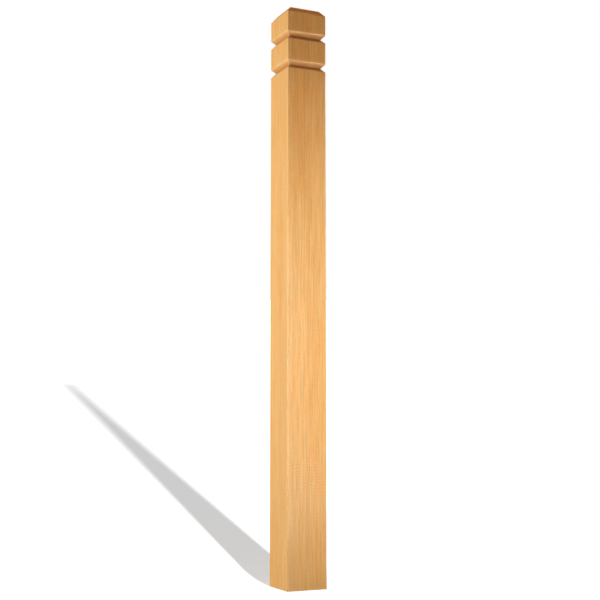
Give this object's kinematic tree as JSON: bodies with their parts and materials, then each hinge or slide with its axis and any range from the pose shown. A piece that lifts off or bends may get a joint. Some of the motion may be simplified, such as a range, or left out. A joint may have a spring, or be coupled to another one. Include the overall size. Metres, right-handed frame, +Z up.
{
  "type": "newel post",
  "caption": "Square timber newel post: plain shaft, head with V grooves cut round all faces, chamfered top and flat sawn foot.",
  "frame": {"origin": "middle of the sawn foot, on the surface that the post stands on", "axes": "+Z up the post, from foot to top; the four faces look along +X, -X, +Y and -Y"},
  "size_m": [0.0888, 0.0888, 1.2128],
  "materials": {
    "timber": "straight-grained honey-coloured timber, planed and sanded, clear satin"
  },
  "bodies": {
    "root": {"newel_post": "timber"}
  },
  "joints": []
}
